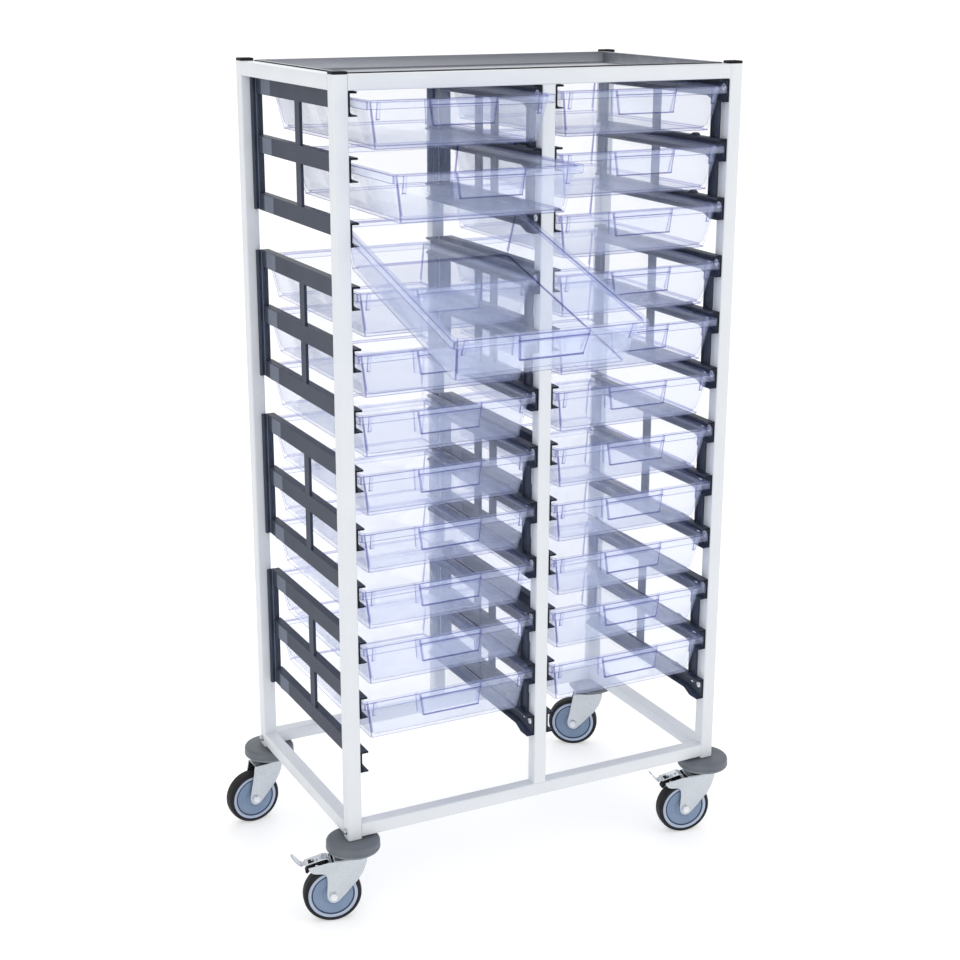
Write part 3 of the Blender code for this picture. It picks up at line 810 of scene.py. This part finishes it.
def screw_mesh(way):
    """Pan-head screw with a cross recess painted dark as shade, standing out along X."""
    profile = ((0.0074, 0.0), (0.0074, 0.0005), (0.0060, 0.0007), (0.0056, 0.0013), (0.0040, 0.0017))
    bm = bmesh.new()
    rings = []
    for radius, height in profile:
        rings.append([(way * height, u, v) for u, v in circle((0.0, 0.0), radius, 20)])
    add_loft(bm, rings)
    # The cross is painted dark: painted shade in the recess.
    for long, wide in ((0.0026, 0.0006), (0.0006, 0.0026)):
        outline = [(-long, -wide), (long, -wide), (long, wide), (-long, wide)]
        paint(add_prism(bm, outline, way * 0.0010, way * 0.00175, "X"), SHADE_PART)
    return finished_mesh("panel_screw", bm, SCREW, SEAM_AND_SHADE)


def build_panels():
    middle = WIDTH / 2
    half = HALF_TUBE - CENTRE_INSET
    stacks = (
        ("left_outer", TUBE + SEAT_GAP, 1.0), ("left_centre", middle - half - SEAT_GAP, -1.0),
        ("right_centre", middle + half + SEAT_GAP, 1.0), ("right_outer", WIDTH - TUBE - SEAT_GAP, -1.0),
    )
    meshes = {way: panel_mesh("runner_panel", way) for way in (1.0, -1.0)}
    screws = {way: screw_mesh(way) for way in (1.0, -1.0)}
    screw_y = PANEL_FRONT + SCREW_SETBACK
    for stack, x, way in stacks:
        for tier in range(TIERS):
            name = f"{stack}_{tier + 1}"
            top = row_top(tier * ROWS_PER_PANEL)
            place = (x, 0.0, top)
            node = f"panel_{name}"
            panel = piece(f"runner_{name}", meshes[way], "trolley", [node], place)
            soften(panel, 0.0006)
            for row in (0, ROWS_PER_PANEL - 1):
                place = (x + way * WEB, screw_y, top - row * PITCH - SCREW_DROP)
                piece(f"screw_{name}_{row}", screws[way], "trolley", (), place)


# Trays

def tray_ring(inset, z, radius):
    """Ring of a tray, counted from the middle of its width and its front edge."""
    half = TRAY_WIDTH / 2 - inset
    outline = rounded_box((-half, inset), (half, TRAY_LENGTH - inset), radius, CORNER_STEPS)
    return [(x, y, z) for x, y in outline]


def tray_mesh():
    """Tapered tray with a turned-down rim. A profile row ends with 1 where its band is an edge line:
    painted shade, a darker tint for the dark lines bent light draws at the plastic's bends.
    """
    bottom = LIP_HEIGHT - TRAY_HEIGHT
    under = LIP_HEIGHT - RIM_THICKNESS
    inner_top, inner_low = RIM_OVERHANG + TRAY_WALL, FLOOR_INSET + TRAY_WALL
    floor = bottom + TRAY_FLOOR
    knee = floor + 0.010
    knee_inset = inner_low + (inner_top - inner_low) * (knee - floor) / (LIP_HEIGHT - floor)
    lip_radius = RIM_RADIUS - LIP_THICKNESS
    inner_radius = WALL_RADIUS - TRAY_WALL
    middle = CORNER_STEPS // 2
    points = CORNER_STEPS + 1
    corner = tuple(int(i % points in (middle, middle + 1)) for i in range(4 * points))
    profile = (
        (FLOOR_INSET + 0.0026, bottom, FLOOR_RADIUS - 0.0026, 1),
        (FLOOR_INSET + 0.0007, bottom + 0.0007, FLOOR_RADIUS - 0.0007, 1),
        (FLOOR_INSET, bottom + 0.0024, FLOOR_RADIUS, corner),
        (RIM_OVERHANG + 0.0004, under - 0.0024, WALL_RADIUS, 1),
        (RIM_OVERHANG - 0.0012, under, WALL_RADIUS, 0),
        (LIP_THICKNESS + 0.0008, under, lip_radius, 0),
        (LIP_THICKNESS, under - 0.0010, lip_radius, 0),
        (LIP_THICKNESS, 0.0008, lip_radius, 1),
        (LIP_THICKNESS / 2, 0.0, RIM_RADIUS - LIP_THICKNESS / 2, 1),
        (0.0, 0.0010, RIM_RADIUS, corner),
        (0.0, LIP_HEIGHT - 0.0014, RIM_RADIUS, 1),
        (0.0012, LIP_HEIGHT, RIM_RADIUS - 0.0012, 0),
        (inner_top - 0.0012, LIP_HEIGHT, inner_radius + 0.0012, 1),
        (inner_top, LIP_HEIGHT - 0.0014, inner_radius, corner),
        (knee_inset, knee, INNER_FLOOR_RADIUS - 0.0035, 0),
        (inner_low + 0.0022, floor + 0.0042, INNER_FLOOR_RADIUS - 0.0015, 1),
        (inner_low + 0.0040, floor + 0.0022, INNER_FLOOR_RADIUS, 0),
        (inner_low + 0.0100, floor, INNER_FLOOR_RADIUS + 0.0025, 0),
    )
    rings = [tray_ring(inset, z, radius) for inset, z, radius, _ in profile]
    bm = bmesh.new()
    add_loft(bm, rings, [row[3] for row in profile])
    add_handle(bm)
    for side in (-1.0, 1.0):
        add_tray_rib(bm, side * (TRAY_WIDTH / 2 - TRAY_RIB_INSET), under)
    return finished_mesh("tray", bm, CLEAR, EDGE_SHADE, smooth_deg=42.0)


def add_handle(bm):
    """Label pocket and pull: a trapezoid apron in front of the wall, with wings back to it."""
    levels = (
        (LIP_HEIGHT - HANDLE_HEIGHT, HANDLE_BOTTOM_HALF, HANDLE_BOTTOM_ROOT),
        (LIP_HEIGHT - RIM_THICKNESS / 2, HANDLE_TOP_HALF, HANDLE_TOP_ROOT),
    )
    back = HANDLE_WALL - HANDLE_PROUD
    bend = HANDLE_BEND
    rings = []
    for z, half, root in levels:
        face = half - HANDLE_FLARE
        outer = [
            (-half, root), (-face - bend / 3, bend - HANDLE_PROUD), (-face, bend / 4 - HANDLE_PROUD),
            (-face + bend, -HANDLE_PROUD),
        ]
        outer += [(-x, y) for x, y in reversed(outer)]
        within = face - HANDLE_WALL
        inner = [(half - HANDLE_WALL, root), (within, back + bend), (within - bend, back)]
        inner += [(-x, y) for x, y in reversed(inner)]
        rings.append([(x, y, z) for x, y in outer + inner])
    # These handle faces are painted with the edge shade.
    lined = (1, 2, 4, 5, 7, 13)
    add_loft(bm, rings, [tuple(int(i in lined) for i in range(len(rings[0])))])
    (low, half, _), (high, top_half, _) = levels
    face = half - HANDLE_FLARE
    # Thin blocks along the apron's foot and across its face, painted with the edge shade.
    rim = add_block(bm, (-face, -HANDLE_PROUD - 0.0004, low - 0.0010), (face, back, low + 0.0012))
    paint(rim, TRAY_EDGE_SHADE)
    reach = top_half - HANDLE_FLARE
    line = add_block(bm, (-reach, -HANDLE_PROUD - 0.0003, high - 0.0105), (reach, back, high - 0.0090))
    paint(line, TRAY_EDGE_SHADE)


def add_tray_rib(bm, x, under):
    """Short upright rib under the rim, near a front corner."""
    height, half, depth = TRAY_RIB_HEIGHT, TRAY_RIB_HALF, TRAY_RIB_DEPTH
    bottom = LIP_HEIGHT - TRAY_HEIGHT
    slope = (FLOOR_INSET - RIM_OVERHANG) / (under - bottom)
    rings = []
    for z, reach in ((under, depth), (under - 0.94 * height, depth), (under - height, depth / 4)):
        wall = RIM_OVERHANG + slope * (under - z) + 0.0006
        outline = [(x + half * u, wall - reach * v) for u, v in arc((0.0, 0.0), 1.0, 0.0, 0.5, 8)]
        rings.append([(u, v, z) for u, v in outline])
    # The rib's sides and lower end are painted with the edge shade.
    sides = (1, 1, 0, 0, 0, 0, 1, 1, 0)
    add_loft(bm, rings, [sides, TRAY_EDGE_SHADE])


def build_trays():
    mesh = tray_mesh()
    bay = (WIDTH + TUBE) / 4
    for column, x in (("l", bay), ("r", WIDTH - bay)):
        for row in range(TRAY_ROWS):
            label = f"{column}{row + 1:02d}"
            name = f"tray_{label}"
            front = TRAY_FRONT - PULLED_OUT.get(label, 0.0)
            seat = row_top(row) - LEDGE_TOP + SEAT_GAP
            at, turn = Vector((x, front, seat)), None
            if label == TILTED_TRAY:
                pivot = Vector((x, PANEL_FRONT + DIP_LENGTH, seat))
                turn = Matrix.Rotation(math.radians(TILT_DEG), 3, "X")
                at = pivot + turn @ (at - pivot)
            piece(f"clear_{name}", mesh, name, [name], at, turn)


# Castors

def buffer_mesh():
    """Round buffer with a lighter rim below a fine groove."""
    radius, height = BUFFER_RADIUS, BUFFER_HEIGHT
    section = [(0.0066, 0.0), (radius - 0.016, 0.0), (radius - 0.015, 0.0012)]
    section += arc((radius - 0.0062, 0.0064), 0.0062, 0.75, 1.0, 6)
    section += [(radius - 0.0004, 0.0072), (radius - 0.0012, 0.0077), (radius - 0.0006, 0.0083)]
    section += arc((radius - 0.0076, height - 0.0078), 0.0070, 0.0, 0.25, 7)
    section += [(0.024, height), (0.0225, height - 0.0008), (0.0066, height - 0.0008)]
    bands = [1 if 2 <= k <= 9 else 0 for k in range(len(section))]
    bm = bmesh.new()
    add_lathe(bm, section, 72, bands=bands)
    return finished_mesh("buffer", bm, BUFFER, RIM)


def pinch(x):
    """Half width of the fork along its length: flat sides that turn in towards the front."""
    for (x0, y0), (x1, y1) in zip(FORK_BENDS, FORK_BENDS[1:]):
        if x <= x1:
            return y0 + (y1 - y0) * (x - x0) / (x1 - x0)
    return FORK_BENDS[-1][1]


def add_leg(bm, outline, side):
    """One pressed side of the fork."""
    sheet = bmesh.new()
    sheet.faces.new([sheet.verts.new((x, 0.0, z)) for x, z in outline])
    for cut in FORK_CUTS:
        everything = sheet.verts[:] + sheet.edges[:] + sheet.faces[:]
        bmesh.ops.bisect_plane(sheet, geom=everything, plane_co=(cut, 0.0, 0.0), plane_no=(1.0, 0.0, 0.0))
    for vert in sheet.verts:
        vert.co.y = side * pinch(vert.co.x)
    grown = bmesh.ops.extrude_face_region(sheet, geom=sheet.faces[:])
    moved = [g for g in grown["geom"] if isinstance(g, bmesh.types.BMVert)]
    bmesh.ops.translate(sheet, verts=moved, vec=(0.0, -side * FORK_SHEET, 0.0))
    mesh = bpy.data.meshes.new("leg")
    sheet.to_mesh(mesh)
    sheet.free()
    bm.from_mesh(mesh)
    bpy.data.meshes.remove(mesh)


def fork_mesh(name, outline):
    """Pressed steel fork: two sides, crown, front plate, stem, axle bolt and nuts."""
    bm = bmesh.new()
    for side in (-1.0, 1.0):
        add_leg(bm, outline, side)
    stations = [CROWN_REAR] + [x for x, _ in FORK_BENDS[1:]]
    plan = [(x, -pinch(x)) for x in stations] + [(x, pinch(x)) for x in reversed(stations)]
    crown = (
        (0.1385, 0.90), (FORK_TOP - 0.0005, 0.985), (FORK_TOP + 0.0012, 0.90), (FORK_TOP + 0.0016, 0.70),
    )
    rings = []
    for z, shrink in crown:
        rings.append([(x * shrink - 0.0083 * (1.0 - shrink), y * shrink, z) for x, y in plan])
    add_loft(bm, rings)
    add_block(bm, (0.0240, -0.0112, 0.1330), (0.0266, 0.0112, FORK_TOP))
    add_prism(bm, circle((0.0, 0.0), 0.006, 16), FORK_TOP - 0.004, STEM_TOP, "Z")
    for way in (-1.0, 1.0):
        face = way * FORK_HALF
        washer = circle((-TRAIL, WHEEL_RADIUS), 0.0092, 24)
        add_prism(bm, washer, face - way * 0.0005, face + way * 0.0012, "Y")
        nut = add_hex(bm, 0.0150, face + way * 0.0010, face + way * 0.0068, "Y", 0.18)
        shank = circle((0.0, 0.0), 0.0040, 16)
        bolt = add_prism(bm, shank, face + way * 0.005, way * AXLE_END, "Y")
        paint(nut + bolt, BRIGHT_PART)
        bmesh.ops.translate(bm, verts=nut + bolt, vec=(-TRAIL, 0.0, WHEEL_RADIUS))
    return finished_mesh(name, bm, ZINC, SCREW)


def race_mesh():
    """Dark swivel head between the fork and the buffer."""
    section = (
        (0.0070, FORK_TOP + 0.0010), (0.0215, FORK_TOP + 0.0010), (0.0225, FORK_TOP + 0.0030),
        (0.0245, FORK_TOP + 0.0040), (0.0250, FORK_TOP + 0.0080), (0.0240, FORK_TOP + 0.0110),
        (0.0205, FORK_TOP + 0.0125), (0.0200, RACE_TOP), (0.0070, RACE_TOP),
    )
    bm = bmesh.new()
    add_lathe(bm, section, 48)
    return finished_mesh("swivel_race", bm, BLACK)


def wheel_mesh():
    """Rubber tyre with two fine tread grooves, counted from the wheel's centre."""
    side = [
        (0.0532, 0.0138), (0.0538, 0.0150), (0.0560, 0.0156), (0.0585, 0.0152), (0.0605, 0.0135),
        (0.0618, 0.0105),
    ]
    tread = [(WHEEL_RADIUS, 0.0060), (0.0622, 0.0052), (WHEEL_RADIUS, 0.0044)]
    near = side + tread
    section = near + [(r, -y) for r, y in reversed(near)]
    bm = bmesh.new()
    add_lathe(bm, section, 80, "Y")
    return finished_mesh("tyre", bm, TYRE)


def hub_mesh():
    """Wheel centre: dished disc with a low ring, a groove painted dark as shade, light outer ring and
    bearing boss.
    """
    near = [
        (0.0054, 0.0177), (0.0118, 0.0177), (0.0128, 0.0165), (0.0135, 0.0120), (0.0205, 0.0110),
        (0.0225, 0.0124), (0.0262, 0.0124), (0.0285, 0.0112), (0.0400, 0.0128), (0.0432, 0.0128),
        (0.0444, 0.0108), (0.0456, 0.0108), (0.0464, 0.0138), (0.0480, 0.0150), (0.0515, 0.0152),
        (0.0530, 0.0144),
    ]
    # Index 2 paints the groove's bands dark: painted shade.
    bands = [0] * 9 + [2, 2, 2] + [1] * 3
    section = near + [(r, -y) for r, y in reversed(near)]
    bm = bmesh.new()
    add_lathe(bm, section, 80, "Y", bands + [1] + bands[::-1] + [0])
    return finished_mesh("hub", bm, HUB, RING, GROOVE_SHADE)


def lever_half(done):
    """Half width of the foot lever from its barrel, 0, to its end, 1: broad, narrow, then an oval end."""
    step, oval_start, round_start = 0.55, 0.66, 0.6
    if done <= oval_start:
        return LEVER_BROAD if done < step else LEVER_NARROW
    tip = (done - oval_start) / (1.0 - oval_start)
    half = LEVER_NARROW + (LEVER_OVAL - LEVER_NARROW) * math.sin(math.pi * min(tip * 1.25, 1.0) / 2)
    if tip > round_start:
        half *= math.sqrt(max(1.0 - ((tip - round_start) / 0.42) ** 2, 0.02))
    return half


def pedal_mesh():
    """Bent foot lever with a window painted black as the shade seen through it, rivets and an upturned oval
    end, counted from its barrel.
    """
    pivot = Vector(PEDAL_PIVOT)
    line = smooth_line([Vector(p) - pivot for p in PEDAL_LINE], 6)
    last = len(line) - 1
    rings = []
    for k, point in enumerate(line):
        along = (line[min(k + 1, last)] - line[max(k - 1, 0)]).normalized()
        across = Vector((-along.y, along.x)) * LEVER_SHEET / 2
        half = lever_half(k / last)
        a, b = point + across, point - across
        rings.append([(a.x, -half, a.y), (a.x, half, a.y), (b.x, half, b.y), (b.x, -half, b.y)])
    bm = bmesh.new()
    add_loft(bm, rings)
    add_prism(bm, circle((0.0, 0.0), 0.004, 16), -0.0177, 0.0177, "Y")
    near, far = Vector(PEDAL_LINE[1]) - pivot, Vector(PEDAL_LINE[3]) - pivot
    # The window is a black block: painted shade seen through the opening.
    window = []
    for lift, share in ((0.0008, 0.10), (0.0008, 0.92), (0.0021, 0.92), (0.0021, 0.10)):
        window.append(near.lerp(far, share) + Vector((0.0, lift)))
    paint(add_prism(bm, window, -0.0118, 0.0045, "Y"), SHADE_PART)
    for share, across in ((0.28, -0.004), (0.52, -0.007), (0.70, -0.002)):
        middle = near.lerp(far, share)
        dome = []
        for radius, height in ((0.0034, 0.0015), (0.0030, 0.0040), (0.0016, 0.0050)):
            ring = circle((middle.x, across), radius, 12)
            dome.append([(x, y, middle.y + height) for x, y in ring])
        add_loft(bm, dome)
    return finished_mesh("pedal", bm, ZINC, BLACK)


def shoe_mesh():
    """Black plastic brake shoe under the lever's end, counted from the lever's barrel."""
    outline = [
        (-0.036, -0.004), (-0.050, -0.009), (-0.0535, -0.015), (-0.0530, -0.0205), (-0.0497, -0.0218),
        (-0.0457, -0.0184), (-0.040, -0.012), (-0.031, -0.009),
    ]
    bm = bmesh.new()
    add_prism(bm, outline, -SHOE_HALF, SHOE_HALF, "Y")
    return finished_mesh("brake_shoe", bm, BLACK)


def build_castors():
    buffer, race, tyre, hub = buffer_mesh(), race_mesh(), wheel_mesh(), hub_mesh()
    plain, braked = fork_mesh("plain_fork", PLAIN_LEG), fork_mesh("braked_fork", BRAKED_LEG)
    pedal, shoe = pedal_mesh(), shoe_mesh()
    for label, (x, y) in CORNERS.items():
        turn = Matrix.Rotation(math.radians(CASTOR_TURN_DEG[label]), 3, "Z")
        axis = Vector((x, y, 0.0))
        base = (x, y, POST_BOTTOM - SEAT_GAP - BUFFER_HEIGHT)
        piece(f"bumper_{label}", buffer, "trolley", [f"buffer_{label}"], base)
        castor = f"castor_{label}"
        fork = braked if label in BRAKED else plain
        bracket = piece(f"bracket_{label}", fork, castor, [f"fork_{label}"], axis, turn)
        soften(bracket, 0.0006)
        piece(f"swivel_race_{label}", race, castor, (), axis, turn)
        centre = axis + turn @ Vector((-TRAIL, 0.0, WHEEL_RADIUS))
        wheel = f"wheel_{label}"
        piece(f"tyre_{label}", tyre, wheel, [wheel], centre, turn)
        piece(f"hub_{label}", hub, wheel, (), centre, turn)
        if label in BRAKED:
            pivot = axis + turn @ Vector((PEDAL_PIVOT[0], 0.0, PEDAL_PIVOT[1]))
            brake = f"brake_{label}"
            lever = piece(f"pedal_{label}", pedal, brake, [brake], pivot, turn)
            soften(lever, 0.0005)
            block = piece(f"brake_shoe_{label}", shoe, brake, (), pivot, turn)
            soften(block, 0.0012)


# Stage, light and camera

def build_stage():
    bm = bmesh.new()
    add_block(bm, (-FLOOR_HALF, -FLOOR_HALF, -FLOOR_THICKNESS), (FLOOR_HALF, FLOOR_HALF, 0.0))
    paper = finish(
        "floor_paper", (0.74, 0.74, 0.74), (0.76, 0.76, 0.76), 0.6, (0.6, 0.8), 300.0, 0.0001,
        Emission_Color=(1.0, 1.0, 1.0, 1.0), Emission_Strength=0.42,
    )
    mesh = finished_mesh("floor", bm, paper)
    floor = bpy.data.objects.new("floor", mesh)
    bpy.context.scene.collection.objects.link(floor)


def build_light():
    world = bpy.data.worlds.new("studio")
    world.use_nodes = True
    tree = world.node_tree
    background = tree.nodes["Background"]
    background.inputs["Color"].default_value = (1.0, 1.0, 1.0, 1.0)
    background.inputs["Strength"].default_value = WORLD_STRENGTH
    bpy.context.scene.world = world
    lamps = (
        ("key", (-2.6, -3.2, 3.6), 2.4, 34.0), ("fill", (3.4, -2.6, 2.6), 2.8, 14.0),
        ("back", (0.8, 3.4, 3.4), 2.6, 20.0),
    )
    for name, at, size, power in lamps:
        data = bpy.data.lights.new(name, "AREA")
        data.shape = "SQUARE"
        data.size = size
        data.energy = power
        lamp = bpy.data.objects.new(name, data)
        lamp.location = at
        lamp.rotation_euler = (Vector(LAMP_AIM) - Vector(at)).to_track_quat("-Z", "Y").to_euler()
        bpy.context.scene.collection.objects.link(lamp)


def build_camera():
    data = bpy.data.cameras.new("camera")
    data.sensor_width = CAMERA_SENSOR
    data.lens = CAMERA_LENS
    camera = bpy.data.objects.new("camera", data)
    camera.location = ORIGIN + Vector(CAMERA_AT)
    look = Matrix.Rotation(-CAMERA_YAW, 3, "Z") @ Matrix.Rotation(math.pi / 2 + CAMERA_PITCH, 3, "X")
    camera.rotation_euler = (look @ Matrix.Rotation(CAMERA_ROLL, 3, "Z")).to_euler()
    bpy.context.scene.collection.objects.link(camera)
    bpy.context.scene.camera = camera


build_frame()
build_panels()
build_trays()
build_castors()
build_stage()
build_light()
build_camera()
bpy.context.scene.view_settings.view_transform = "Standard"
bpy.context.scene.cycles.transparent_max_bounces = 64
